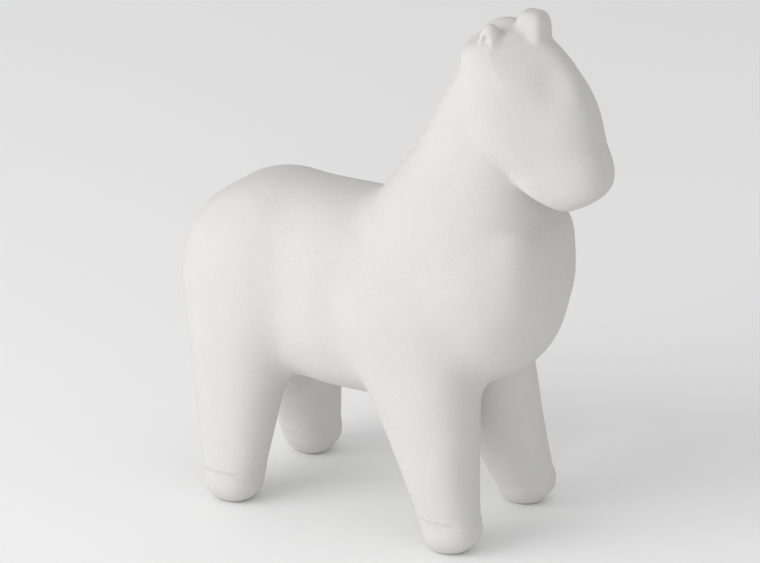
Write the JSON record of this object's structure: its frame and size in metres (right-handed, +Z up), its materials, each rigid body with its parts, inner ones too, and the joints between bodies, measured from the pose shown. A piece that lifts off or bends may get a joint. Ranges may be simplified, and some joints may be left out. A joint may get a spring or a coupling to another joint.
{
  "type": "ceramic horse figurine",
  "caption": "Free-standing stylised horse in matte white unglazed ceramic, cast hollow, with rounded limbs, gouged mane and incised hoof lines.",
  "frame": {"origin": "on the floor, under the middle of the horse's length and width", "axes": "+X the way the horse faces, +Y its left, +Z up"},
  "size_m": [0.165, 0.0736, 0.1963],
  "materials": {
    "casting": "matte unglazed bisque, sponged smooth, with fine grain and pinholes",
    "sprig": "matte unglazed bisque, modelled and smoothed by hand"
  },
  "bodies": {
    "root": {"torso_casting": "casting", "neck_head_casting": "casting", "front_right_leg": "casting", "front_left_leg": "casting", "rear_right_leg": "casting", "rear_left_leg": "casting", "right_ear": "sprig", "left_ear": "sprig", "forelock": "sprig", "mane_crest": "sprig", "tail": "sprig"}
  },
  "joints": []
}
